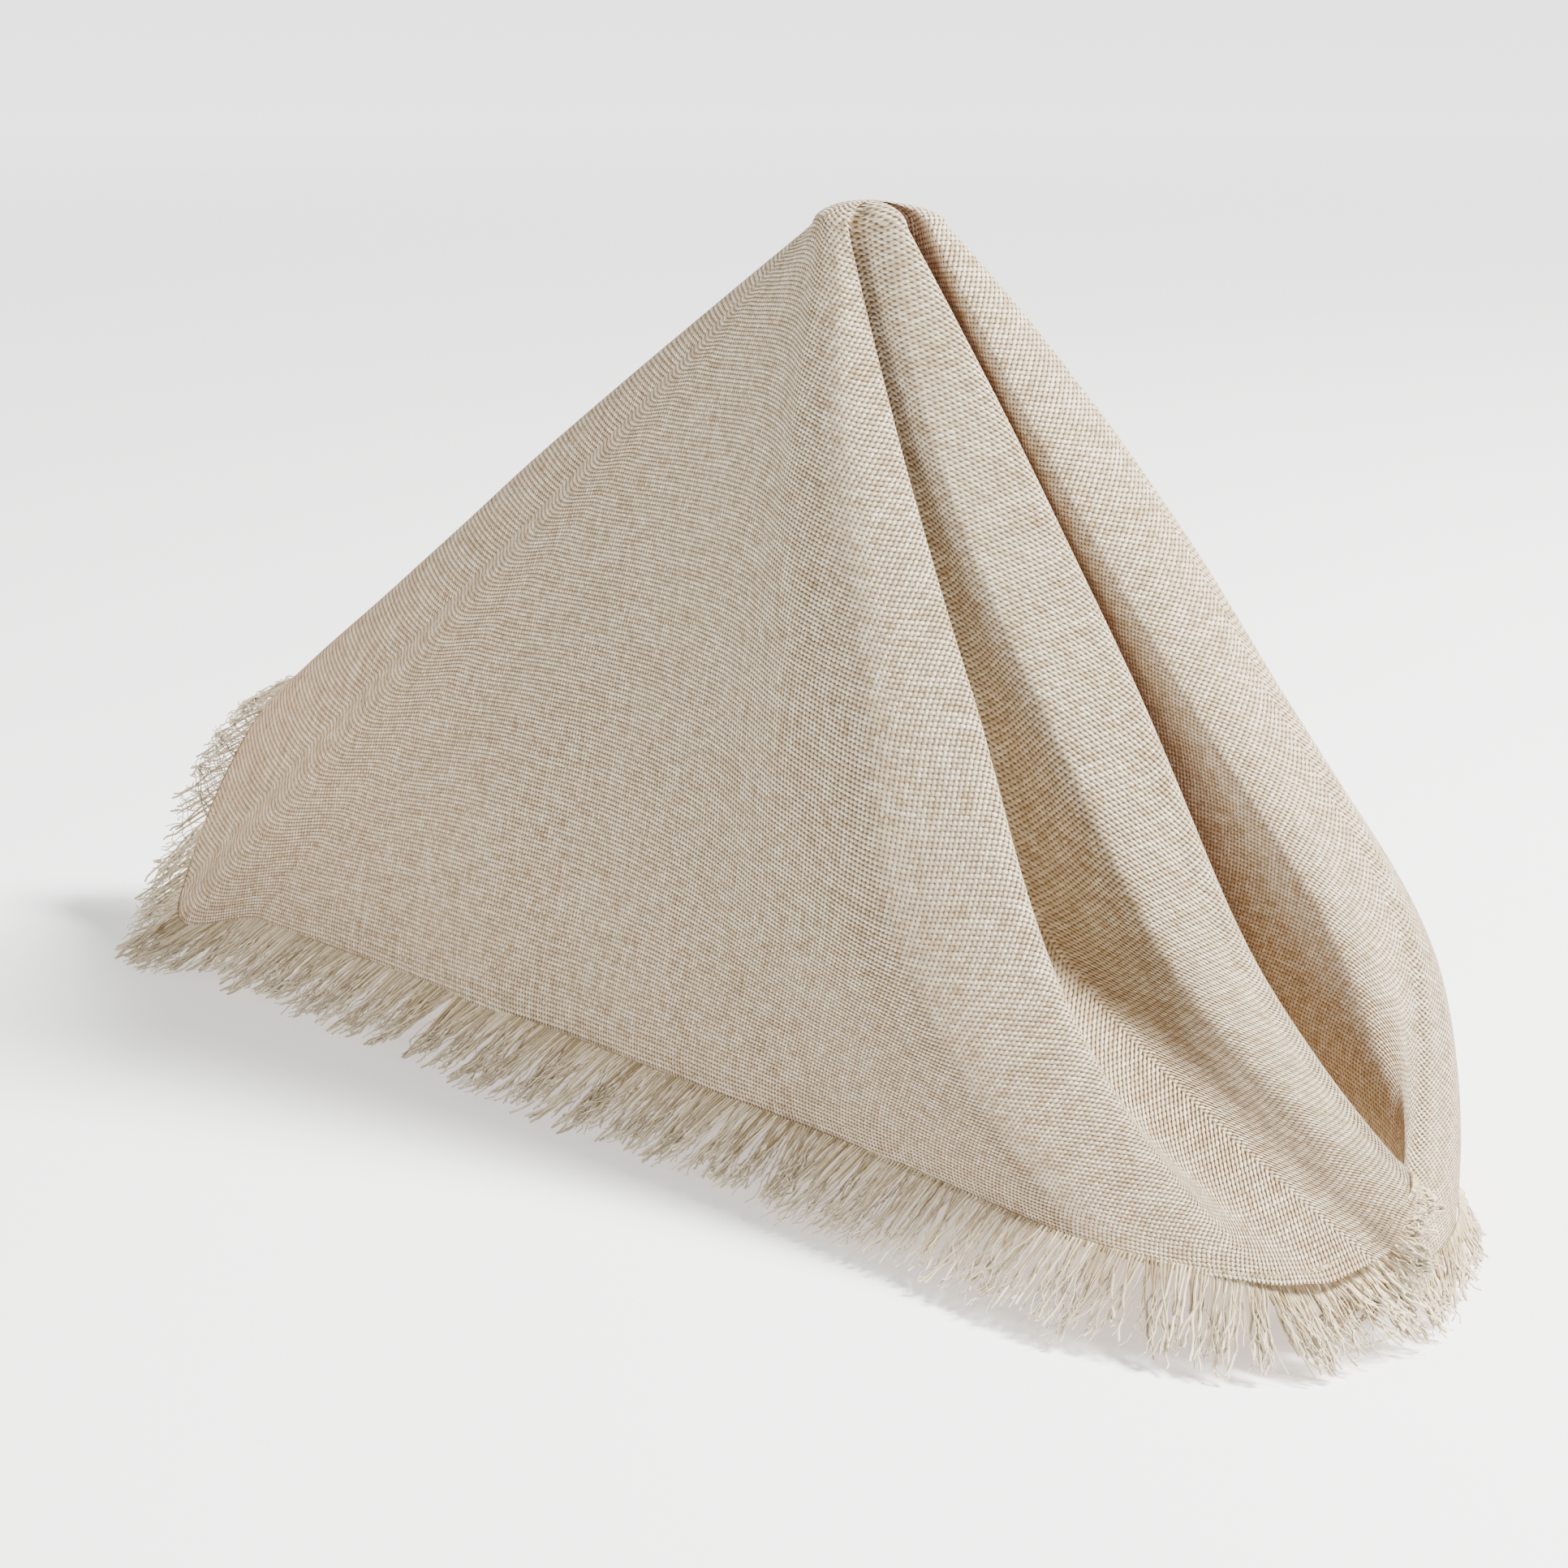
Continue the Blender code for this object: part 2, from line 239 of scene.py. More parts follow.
flats = (np.arange(COLUMNS) + 0.5) * ROUND_HEM / COLUMNS
shares = np.linspace(0.0, 1.0, ROWS)
cloth = push_out(sheet_points(flats, shares), crease_depth(flats, shares))
print("lowest and highest point in mm:", cloth[:, :, 2].min().round(1), cloth[:, :, 2].max().round(1))

# %% [markdown]
# ## The rounded point
# The middle of the napkin is gathered, not sharp. A small dome closes the top:
# each ring is the first row of the sheet drawn in towards its middle and lifted
# along a quarter circle. The top ring comes first in the grid. It is almost
# closed, but keeps a size of a millimetre or so, so no face shrinks to nothing.

# %% Dome over the tip
DOME_ROWS = 8
DOME_START = 0.35
CENTRE = np.array([-2.7, -4.5, 0.0])
tip_middle = table_column(2).mean(axis=0)
dome = []
for k in range(DOME_ROWS):
    angle = math.pi / 2 * (1 - (k + DOME_START) / DOME_ROWS)
    ring = cloth[0].copy()
    ring[:, :2] = tip_middle + (ring[:, :2] - tip_middle) * math.cos(angle)
    ring[:, 2] = HEIGHT - DOME + DOME * math.sin(angle)
    dome.append(ring)
grid = np.concatenate([np.array(dome), cloth]) - CENTRE
print("sheet grid:", grid.shape[:2])

# %% [markdown]
# ## A map back to the flat square
# The weave should follow the folds as yarns do, so each point keeps its place
# on the flat square as its UV. Its place on the hem gives a point on the
# outline of the square, and its share of the way down scales that point from
# the middle outwards.


# %% Outline of the flat square
def flat_square(places):
    """Places on the outline of the flat square, from -0.5 to 0.5."""
    side, part = np.divmod(np.mod(places, ROUND_HEM) / SIDE, 1.0)
    run = part - 0.5
    half = np.full_like(run, 0.5)
    x = np.choose(side.astype(int), [run, half, -run, -half])
    y = np.choose(side.astype(int), [-half, run, half, -run])
    return np.stack([x, y], axis=-1)


print("middle of the first side:", flat_square(np.array([SIDE / 2]))[0])

# %% [markdown]
# ## Yarns at an even distance
# A listed table spaces its rows unevenly, and yarns drawn from it would be
# crowded in one place and wide in the next. Woven cloth hardly stretches, so
# the map is evened out: between two corners, and from the tip to the hem, a
# point's place is mostly its real distance along the surface. A part of the
# first map stays in, which keeps the change from side to side gentle.


# %% Even the map
def even_places(points):
    """Places on the flat hem, spread by real distance along each row between the corners."""
    ahead = np.linalg.norm(np.roll(points, -1, axis=1) - points, axis=2)
    behind = np.roll(ahead, 1, axis=1)
    side = COLUMNS // 4
    spread = []
    for n in range(4):
        gaps = behind[:, n * side:(n + 1) * side].copy()
        gaps[:, 0] *= 0.5
        run = np.cumsum(gaps, axis=1)
        whole = run[:, -1:] + ahead[:, (n + 1) * side - 1:(n + 1) * side] * 0.5
        spread.append(SIDE * (n + run / whole))
    return np.concatenate(spread, axis=1)


EVEN_ROUND = 0.7
EVEN_DOWN = 0.75
TIP_SHARE = 0.055
dome_shares = TIP_SHARE * (np.arange(DOME_ROWS) + DOME_START) / DOME_ROWS
first_shares = np.concatenate([dome_shares, TIP_SHARE + (1 - TIP_SHARE) * shares])
drops = np.linalg.norm(np.diff(grid, axis=0), axis=2)
even_shares = np.concatenate([drops[:1] * 0.5, drops]).cumsum(axis=0)
even_shares /= even_shares[-1]
down_shares = (1 - EVEN_DOWN) * first_shares[:, None] + EVEN_DOWN * even_shares
outline = flat_square((1 - EVEN_ROUND) * flats + EVEN_ROUND * even_places(grid))
uv = 0.5 + down_shares[:, :, None] * outline
print("map from", uv.min().round(3), "to", uv.max().round(3))

# %% [markdown]
# ## From grid to mesh
# Numbers become a mesh: four neighbours of the grid make a face, wound so that
# it points outwards. The same function makes the open guide ribbons of the
# fringe later on, so it is told whether the grid closes.


# %% Sheet mesh with its flat map
def grid_mesh(name, points, uv, closed):
    """Mesh of a grid of points in mm, with a UV for each point."""
    rows, cols = points.shape[:2]
    last = cols if closed else cols - 1
    k = np.arange(last)
    n = (k + 1) % cols
    r = np.arange(rows - 1)[:, None] * cols
    quads = np.stack([r + k, r + cols + k, r + cols + n, r + n], axis=2).reshape(-1, 4)
    mesh = bpy.data.meshes.new(name)
    mesh.from_pydata((points.reshape(-1, 3) * MM).tolist(), [], quads.tolist())
    layer = mesh.uv_layers.new(name="flat")
    layer.data.foreach_set("uv", uv.reshape(-1, 2)[quads.reshape(-1)].astype(np.float32).ravel())
    mesh.shade_smooth()
    item = bpy.data.objects.new(name, mesh)
    bpy.context.scene.collection.objects.link(item)
    return item


sheet = grid_mesh("napkin_sheet", grid, uv, closed=True)
print("sheet faces:", len(sheet.data.polygons))

# %% [markdown]
# ## A small helper for node trees
# Colours are given as they look on a screen and turned into linear light by one
# function. A second function adds a node with its settings and links, so each
# tree below reads as a list of steps. It works the same way for shader nodes
# and for geometry nodes.

# %% Colour and node helpers
MATH = "ShaderNodeMath"
VECTOR_MATH = "ShaderNodeVectorMath"


def linear(hex_colour):
    """Linear red, green, blue and alpha of an sRGB hex value."""
    parts = [int(hex_colour[i:i + 2], 16) / 255 for i in (1, 3, 5)]
    light = [p / 12.92 if p <= 0.04045 else ((p + 0.055) / 1.055) ** 2.4 for p in parts]
    return (*light, 1.0)


def add(tree, kind, inputs=(), **settings):
    """Adds one node. Inputs come in order or by name, each a value, an output or a node."""
    node = tree.nodes.new(kind)
    for name, value in settings.items():
        setattr(node, name, value)
    for key, value in (inputs.items() if isinstance(inputs, dict) else enumerate(inputs)):
        source = value.outputs[0] if isinstance(value, bpy.types.Node) else value
        if isinstance(source, bpy.types.NodeSocket):
            tree.links.new(source, node.inputs[key])
        else:
            node.inputs[key].default_value = source
    return node


print("middle grey in linear light:", [round(c, 3) for c in linear("#808080")])

# %% [markdown]
# ## Woven cloth: counting the yarns
# The cloth is a plain weave of unbleached cotton and linen. The flat map times
# the number of yarns counts them each way: the whole part is the number of the
# yarn and the rest is the place across it. Slow noise first shifts the map by
# up to a yarn, because no hand-folded cloth keeps its yarns quite straight.

# %% Yarn count
WANDERS_PER_SIDE = 9.0
WANDER_SIZE = 0.004
weave = bpy.data.materials.new("woven_linen")
weave.use_nodes = True
tree = weave.node_tree
tree.nodes.clear()
place = add(tree, "ShaderNodeUVMap", uv_map="flat")
wander = add(tree, "ShaderNodeTexNoise", {"Vector": place, "Scale": WANDERS_PER_SIDE, "Detail": 2.0})
wander_off = add(tree, VECTOR_MATH, (wander.outputs["Color"], (0.5, 0.5, 0.5)), operation="SUBTRACT")
wander_by = (WANDER_SIZE, WANDER_SIZE, 0.0)
wandered = add(tree, VECTOR_MATH, (wander_off, wander_by, place), operation="MULTIPLY_ADD")
count = add(tree, "ShaderNodeMapping", {"Vector": wandered, "Scale": (YARNS, YARNS, 1.0)})
split = add(tree, "ShaderNodeSeparateXYZ", {0: count})
print("one wave of the wandering in mm:", round(SIDE / WANDERS_PER_SIDE, 1))

# %% [markdown]
# ## Woven cloth: over and under
# Across a yarn the height is a cosine, so it is round. Whether the warp or the
# weft is on top changes from cell to cell: the sum of the two yarn numbers is
# odd or even, and a cosine of half turns makes that plus or minus one.

# %% Round yarns that swap
cells = []
rounds = []
for axis in (0, 1):
    cell = add(tree, MATH, {0: split.outputs[axis]}, operation="FLOOR")
    inside = add(tree, MATH, (split.outputs[axis], cell), operation="SUBTRACT")
    centred = add(tree, MATH, (inside, 0.5), operation="SUBTRACT")
    turn = add(tree, MATH, (centred, math.pi), operation="MULTIPLY")
    cells.append(cell)
    rounds.append(add(tree, MATH, {0: turn}, operation="COSINE"))
both = add(tree, MATH, cells, operation="ADD")
half_turns = add(tree, MATH, (both, math.pi), operation="MULTIPLY")
swap = add(tree, MATH, {0: half_turns}, operation="COSINE")
print("nodes for the two sets of yarns:", len(tree.nodes))

# %% [markdown]
# ## Woven cloth: yarns that differ
# Every yarn has its own shade and thickness, and slubs, thicker stretches about
# a centimetre long, come from uneven spinning. Noise that is drawn out along
# the yarn gives them. The cloth is as high as the higher of the two yarns.

# %% Slubs and height
OWN_SHADE = 0.08
THINNEST = 0.16
SLUBS_PER_YARN = 0.55
DRAWN_OUT = 0.16
GIRTH = 0.86
CROSSING_LIFT = 0.4
shades = []
for axis, stretch in ((0, (1.0, DRAWN_OUT, 1.0)), (1, (DRAWN_OUT, 1.0, 1.0))):
    own = add(tree, "ShaderNodeTexWhiteNoise", {"W": cells[axis]}, noise_dimensions="1D")
    drawn = add(tree, "ShaderNodeMapping", {"Vector": count, "Scale": stretch})
    slub = add(tree, "ShaderNodeTexNoise", {"Vector": drawn, "Scale": SLUBS_PER_YARN, "Detail": 2.0})
    base = add(tree, MATH, (slub, THINNEST), operation="ADD")
    shades.append(add(tree, MATH, (own.outputs["Value"], OWN_SHADE, base), operation="MULTIPLY_ADD"))
tops = []
for axis, sign in ((0, CROSSING_LIFT), (1, -CROSSING_LIFT)):
    girth = add(tree, MATH, (shades[axis], GIRTH), operation="MULTIPLY")
    body = add(tree, MATH, (rounds[axis], girth), operation="MULTIPLY")
    up_or_down = add(tree, MATH, (swap, sign), operation="MULTIPLY")
    lift = add(tree, MATH, (up_or_down, rounds[1 - axis]), operation="MULTIPLY")
    tops.append(add(tree, MATH, (body, lift), operation="ADD"))
height = add(tree, MATH, tops, operation="MAXIMUM")
print("one slub in mm:", round(YARN_PITCH / SLUBS_PER_YARN / DRAWN_OUT, 1))

# %% [markdown]
# ## Woven cloth: flecks
# Unbleached yarn is flecked: single crossings are lighter or darker than their
# neighbours, and so are patches of two or three yarns. The shade of the yarn on
# top and these flecks together choose between a dark and a pale yarn colour.

# %% Flecks and yarn colour
FLECK_PART = 0.45
PATCH_PART = 0.9
PATCH_START = -0.2
PATCHES_PER_YARN = 0.35
MIDDLE_TONE = 0.75
crossing = add(tree, "ShaderNodeCombineXYZ", cells)
fleck = add(tree, "ShaderNodeTexWhiteNoise", {"Vector": crossing}, noise_dimensions="2D")
patch = add(tree, "ShaderNodeTexNoise", {"Vector": count, "Scale": PATCHES_PER_YARN, "Detail": 2.0})
patchy = add(tree, MATH, (patch, PATCH_PART, PATCH_START), operation="MULTIPLY_ADD")
speck = add(tree, MATH, (fleck.outputs["Value"], FLECK_PART, patchy), operation="MULTIPLY_ADD")
warp_on_top = add(tree, MATH, tops, operation="GREATER_THAN")
shade = add(tree, "ShaderNodeMix", {0: warp_on_top, 2: shades[1], 3: shades[0]}, data_type="FLOAT")
toned = add(tree, MATH, (shade, speck), operation="ADD")
paleness = add(tree, MATH, (toned, MIDDLE_TONE), operation="SUBTRACT")
yarn_tones = {0: paleness, 6: linear("#B29A72"), 7: linear("#FFF3D9")}
yarn_colour = add(tree, "ShaderNodeMix", yarn_tones, data_type="RGBA").outputs[2]
print("one patch in mm:", round(YARN_PITCH / PATCHES_PER_YARN, 1))

# %% [markdown]
# ## Woven cloth: holes and clouds
# The corners between four crossings are small open holes. The shade seen through
# them is painted: the lowest parts of the height take a darker, browner colour. A
# faint cloud of another shade, 60 mm wide, keeps a wide face from looking printed.

# %% Holes and clouds
HOLE_BELOW = 0.24
YARN_ABOVE = 0.68
CLOUD_PART = 0.2
CLOUDS_PER_SIDE = 5.0
solid = add(tree, "ShaderNodeMapRange", {0: height, 1: HOLE_BELOW, 2: YARN_ABOVE},
            interpolation_type="SMOOTHSTEP")
# painted shade: the holes between crossings are coloured dark brown for the shade seen through them
hole_shade_painted = {0: solid, 6: linear("#4F3A1E"), 7: yarn_colour}
cloth_colour = add(tree, "ShaderNodeMix", hole_shade_painted, data_type="RGBA").outputs[2]
cloud = add(tree, "ShaderNodeTexNoise", {"Vector": place, "Scale": CLOUDS_PER_SIDE, "Detail": 3.0})
cloud_part = add(tree, MATH, (cloud, CLOUD_PART), operation="MULTIPLY")
with_cloud = {0: cloud_part, 6: cloth_colour, 7: linear("#DCC8A2")}
cloudy = add(tree, "ShaderNodeMix", with_cloud, data_type="RGBA").outputs[2]
print("one cloud in mm:", SIDE / CLOUDS_PER_SIDE)

# %% [markdown]
# ## Woven cloth: surface
# Cotton and linen fibres are dull and dry. A rough surface with a little sheen
# at a low angle shows that, and the yarn height goes in as a bump of 0.6 mm.
# Thin cloth also lets a warm light through, which a translucent part adds.

# %% Cloth surface
THROUGH_LIGHT = 0.2
bump = add(tree, "ShaderNodeBump", {"Strength": 1.0, "Distance": 0.6 * MM, "Height": height})
surface = add(tree, "ShaderNodeBsdfPrincipled", {
    "Base Color": cloudy, "Roughness": 0.92, "Sheen Weight": 0.15, "Sheen Roughness": 0.6,
    "Specular IOR Level": 0.2, "Normal": bump})
glow = add(tree, "ShaderNodeBsdfTranslucent", {"Color": linear("#B26F2C"), "Normal": bump})
mixed = add(tree, "ShaderNodeMixShader", (THROUGH_LIGHT, surface, glow))
add(tree, "ShaderNodeOutputMaterial", {"Surface": mixed})
sheet.data.materials.append(weave)
print("weave nodes:", len(tree.nodes))

# %% [markdown]
# ## Where the fringe goes
# A fringe is the ends of warp and weft after the cross yarns are pulled out.
# They lean out from the hem, and where they reach the floor they lie along it.
# How they lean changes round the hem, so it is a table like the folds.

# %% Fringe lean table
# name, flat place, reach out of the hem, drift along it and drop below it in mm
LEAN = (
    ("corner A", 2, 14.0, -5.0, 9.0),
    ("near hem rear", 30, 12.0, -9.0, 11.0),
    ("near hem back", 90, 13.0, -7.5, 11.5),
    ("near hem middle", 150, 14.0, -4.0, 11.5),
    ("near hem front", 205, 14.0, 0.0, 11.5),
    ("roll one", 245, 14.0, 3.0, 12.0),
    ("corner B", 275, 13.0, 6.0, 12.0),
    ("bulge root", 300, 8.0, 8.0, 8.0),
    ("bulge", 325, 5.0, 6.0, 1.0),
    ("bulge edge", 350, 4.0, 4.0, 6.0),
    ("bulge return", 375, 3.0, 3.0, 12.0),
    ("inner near", 480, 3.0, 0.0, 10.5),
    ("corner C", 600, 3.0, 0.0, 10.5),
    ("inner far", 740, 3.0, 0.0, 10.5),
    ("valley", 845, 4.0, 0.0, 10.5),
    ("tongue inside", 880, 9.0, 0.0, 7.5),
    ("tongue", 900, 10.0, 0.0, 7.5),
    ("tongue outside", 922, 6.0, -6.0, 7.5),
    ("far hem front", 980, 6.0, -3.0, 10.5),
    ("far hem middle", 1060, 11.0, 2.0, 10.5),
    ("far hem back", 1125, 12.0, 2.0, 13.0),
    ("ridge far side", 1155, 15.0, 0.0, 6.0),
    ("ridge", 1180, 16.0, 3.0, 5.0),
)
LEAN_FLATS = np.array([row[1] for row in LEAN], dtype=float)
print("longest reach in mm:", max(row[2] for row in LEAN))

# %% [markdown]
# ## A guide ribbon
# A ribbon hung from the woven edge says where a yarn would lie: its length
# follows the hem, and its width is one yarn from root to tip. It falls away
# from the hem in a curve and ends nearly level, just above the floor where the
# drop in the table is that long. Yarns can then be placed by two simple
# numbers, along the hem and down the yarn.

# %% Guide ribbon
RIBBON_ROWS = 14
FLOOR_REST = 0.7
ROOT_SHARE = 0.992
LOOK_ASIDE = 3.0
STAND_OFF = 0.3
REACH_BEND = 0.9
DROP_BEND = 1.4


def ribbon(name, start, end, columns):
    """Guide surface for the yarns between two places on the flat hem."""
    places = np.linspace(start, end, columns)
    lean = loop_at([row[2:] for row in LEAN], places, LEAN_FLATS)
    root = sheet_points(places, [ROOT_SHARE])[0]
    ahead, behind = (sheet_points(places + step, [1.0])[0] for step in (LOOK_ASIDE, -LOOK_ASIDE))
    along = ahead - behind
    along[:, 2] = 0.0
    along /= np.linalg.norm(along, axis=1, keepdims=True)
    out = np.column_stack([along[:, 1], -along[:, 0], np.zeros(columns)])
    tip_z = np.maximum(root[:, 2] - lean[:, 2], FLOOR_REST)
    v = np.linspace(0.0, 1.0, RIBBON_ROWS)[:, None, None]
    level = out * lean[:, 0:1] + along * lean[:, 1:2]
    points = root[None] + level[None] * v ** REACH_BEND + out[None] * STAND_OFF
    points[:, :, 2] = tip_z + (root[:, 2] - tip_z) * (1 - v[:, :, 0]) ** DROP_BEND
    uv = np.stack(np.broadcast_arrays(np.linspace(0, 1, columns)[None, :], v[:, :, 0]), axis=2)
    return grid_mesh(name, points - CENTRE, uv, closed=False)


print("ribbon rows from root to tip:", RIBBON_ROWS)

# %% [markdown]
# ## Yarns grown by Geometry Nodes
# One straight curve is copied for every yarn. Its x is the yarn's place along
# the hem and its y is how far down the yarn a point is, both from 0 to 1. The
# tree's named inputs are the sizes that change from one run of fringe to the
# next. Nodes suit this well, because a thousand yarns follow one rule.

# %% Inputs of the yarn tree
yarns = bpy.data.node_groups.new("fringe_yarns", "GeometryNodeTree")
SOCKETS = (
    ("Ribbon", "NodeSocketGeometry"), ("Yarns", "NodeSocketInt"), ("Steps", "NodeSocketInt"),
    ("Sides", "NodeSocketInt"), ("Radius", "NodeSocketFloat"), ("Locks", "NodeSocketFloat"),
    ("Gather", "NodeSocketFloat"), ("Wander", "NodeSocketFloat"), ("Seed", "NodeSocketFloat"),
    ("Material", "NodeSocketMaterial"),
)
for label, kind in SOCKETS:
    yarns.interface.new_socket(label, in_out="INPUT", socket_type=kind)
yarns.interface.new_socket("Mesh", in_out="OUTPUT", socket_type="NodeSocketGeometry")
given = yarns.nodes.new("NodeGroupInput").outputs
print("inputs:", [label for label, _ in SOCKETS])

# %% One curve for each yarn
line = add(yarns, "GeometryNodeCurvePrimitiveLine", {"Start": (0, 0, 0), "End": (0, 1, 0)})
steps = add(yarns, "GeometryNodeResampleCurve", {"Curve": line, "Count": given["Steps"]})
roots = add(yarns, "GeometryNodePoints", {"Count": given["Yarns"]})
number = add(yarns, "GeometryNodeInputIndex")
middle = add(yarns, MATH, (number, 0.5), operation="ADD")
share = add(yarns, MATH, (middle, given["Yarns"]), operation="DIVIDE")
root_place = add(yarns, "ShaderNodeCombineXYZ", {0: share})
spread = add(yarns, "GeometryNodeSetPosition", {"Geometry": roots, "Position": root_place})
copies = add(yarns, "GeometryNodeInstanceOnPoints", {"Points": spread, "Instance": steps})
real = add(yarns, "GeometryNodeRealizeInstances", {0: copies})
here = add(yarns, "GeometryNodeInputPosition")
parts = add(yarns, "ShaderNodeSeparateXYZ", {0: here})
u, v = parts.outputs[0], parts.outputs[1]
print("nodes so far:", len(yarns.nodes))

# %% [markdown]
# ## Locks
# Drawn yarns cling together in small locks, narrow at their tips. The hem is
# cut into uneven lengths, one for each lock, and a yarn knows how far it is
# from the middle of its lock. Each yarn and each lock also gets fixed random
# numbers, from its own number and the seed.

# %% Numbers of the yarn and its lock
YARN_KEY = 9173.0
UNEVEN_LOCKS = 2.2
key = add(yarns, MATH, (u, YARN_KEY, given["Seed"]), operation="MULTIPLY_ADD")
own = add(yarns, "ShaderNodeTexWhiteNoise", {"W": key}, noise_dimensions="1D")
toss = add(yarns, "ShaderNodeSeparateXYZ", {0: own.outputs["Color"]})
even_lock = add(yarns, MATH, (u, given["Locks"]), operation="MULTIPLY")
uneven = add(yarns, "ShaderNodeTexNoise", {"W": even_lock, "Scale": 0.6}, noise_dimensions="1D")
lock_place = add(yarns, MATH, (uneven, UNEVEN_LOCKS, even_lock), operation="MULTIPLY_ADD")
lock_number = add(yarns, MATH, {0: lock_place}, operation="FLOOR")
lock_own = add(yarns, "ShaderNodeTexWhiteNoise", {"W": lock_number}, noise_dimensions="1D")
lock_toss = add(yarns, "ShaderNodeSeparateXYZ", {0: lock_own.outputs["Color"]})
lock_middle = add(yarns, MATH, (lock_number, 0.5), operation="ADD")
locks_off = add(yarns, MATH, (lock_middle, lock_place), operation="SUBTRACT")
to_middle = add(yarns, MATH, (locks_off, given["Locks"]), operation="DIVIDE")
print("nodes so far:", len(yarns.nodes))

# %% [markdown]
# ## Sideways, and how long
# Towards its tip a yarn is gathered to the middle of its lock, strays by
# itself a little and swings with its lock. Yarns also break or are cut at
# different lengths, so each keeps two thirds or more of the ribbon's width,
# and its lock takes off up to a quarter of that.

# %% Place of a yarn point on the ribbon
GATHER_BEND = 1.4
STRAY = 0.9
SWING = 1.1
SHORTEST = 0.66
LOCK_SHORTEST = 0.75
EDGE = 0.0005
gather_bend = add(yarns, MATH, (v, GATHER_BEND), operation="POWER")
gather = add(yarns, MATH, (gather_bend, given["Gather"]), operation="MULTIPLY")
side_toss = add(yarns, MATH, (toss.outputs[0], 0.5), operation="SUBTRACT")
side_by_tip = add(yarns, MATH, (side_toss, v), operation="MULTIPLY")
loose = add(yarns, MATH, (side_by_tip, given["Locks"]), operation="DIVIDE")
lock_side = add(yarns, MATH, (lock_toss.outputs[0], 0.5), operation="SUBTRACT")
lock_by_tip = add(yarns, MATH, (lock_side, v), operation="MULTIPLY")
lock_swing = add(yarns, MATH, (lock_by_tip, SWING), operation="MULTIPLY")
swing = add(yarns, MATH, (lock_swing, given["Locks"]), operation="DIVIDE")
swung = add(yarns, MATH, (u, swing), operation="ADD")
gathered = add(yarns, MATH, (to_middle, gather, swung), operation="MULTIPLY_ADD")
strayed = add(yarns, MATH, (loose, STRAY, gathered), operation="MULTIPLY_ADD")
above_start = add(yarns, MATH, (strayed, EDGE), operation="MAXIMUM")
u_now = add(yarns, MATH, (above_start, 1 - EDGE), operation="MINIMUM")
own_reach = add(yarns, MATH, (toss.outputs[1], 1 - SHORTEST, SHORTEST), operation="MULTIPLY_ADD")
lock_reach = add(yarns, MATH, (lock_toss.outputs[1], 1 - LOCK_SHORTEST, LOCK_SHORTEST),
                 operation="MULTIPLY_ADD")
reach = add(yarns, MATH, (own_reach, lock_reach), operation="MULTIPLY")
v_now = add(yarns, MATH, (v, reach), operation="MULTIPLY")
where = add(yarns, "ShaderNodeCombineXYZ", (u_now, v_now))
print("nodes so far:", len(yarns.nodes))

# %% [markdown]
# ## Onto the ribbon, with a wandering of its own
# Sample UV Surface finds the point of the ribbon at those two numbers. Then
# slow noise moves it, more towards the tip, so that each yarn kinks in its own
# way, and a last step keeps every yarn above the floor by its own thickness.

# %% Yarn points in space
FLOOR_CLEAR = 1.3
flat_uv = add(yarns, "GeometryNodeInputNamedAttribute", {"Name": "flat"}, data_type="FLOAT_VECTOR")
sample = add(yarns, "GeometryNodeSampleUVSurface",
             {"Mesh": given["Ribbon"], "Value": here, 2: flat_uv, 3: where}, data_type="FLOAT_VECTOR")
drift_place = add(yarns, "ShaderNodeCombineXYZ", {1: v, 2: key})
drift = add(yarns, "ShaderNodeTexNoise", {"Vector": drift_place, "Scale": 3.0, "Detail": 1.5})
drift_off = add(yarns, VECTOR_MATH, (drift.outputs["Color"], (0.5, 0.5, 0.42)), operation="SUBTRACT")
drift_size = add(yarns, MATH, (given["Wander"], v), operation="MULTIPLY")
drifted = add(yarns, VECTOR_MATH, {0: drift_off, 3: drift_size}, operation="SCALE")
moved = add(yarns, VECTOR_MATH, (sample, drifted), operation="ADD")
moved_parts = add(yarns, "ShaderNodeSeparateXYZ", {0: moved})
clearance = add(yarns, MATH, (given["Radius"], FLOOR_CLEAR), operation="MULTIPLY")
above = add(yarns, MATH, (moved_parts.outputs[2], clearance), operation="MAXIMUM")
final = add(yarns, "ShaderNodeCombineXYZ", (moved_parts.outputs[0], moved_parts.outputs[1], above))
print("nodes so far:", len(yarns.nodes))

# %% [markdown]
# ## The tube
# Each curve becomes a thin tube that tapers at its frayed end. Before the
# curves are bent, two attributes are stored on them for the material: how far
# down the yarn a point is, and the yarn's own shade. The tree ends with real
# geometry and its material, because an export drops instances.

# %% Tapered tubes
TAPER_POWER = 5.0
TAPER_DEPTH = 0.75
down_yarn = add(yarns, "GeometryNodeStoreNamedAttribute",
                {"Geometry": real, "Name": "down_yarn", "Value": v}, data_type="FLOAT", domain="POINT")
shaded = add(yarns, "GeometryNodeStoreNamedAttribute",
             {"Geometry": down_yarn, "Name": "own_shade", "Value": toss.outputs[2]},
             data_type="FLOAT", domain="POINT")
placed = add(yarns, "GeometryNodeSetPosition", {"Geometry": shaded, "Position": final})
kept_v = add(yarns, "GeometryNodeInputNamedAttribute", {"Name": "down_yarn"}, data_type="FLOAT")
near_tip = add(yarns, MATH, (kept_v, TAPER_POWER), operation="POWER")
thinner = add(yarns, MATH, (near_tip, TAPER_DEPTH), operation="MULTIPLY")
taper = add(yarns, MATH, (1.0, thinner), operation="SUBTRACT")
thick = add(yarns, "GeometryNodeSetCurveRadius", {"Curve": placed, "Radius": taper})
profile = add(yarns, "GeometryNodeCurvePrimitiveCircle",
              {"Resolution": given["Sides"], "Radius": given["Radius"]})
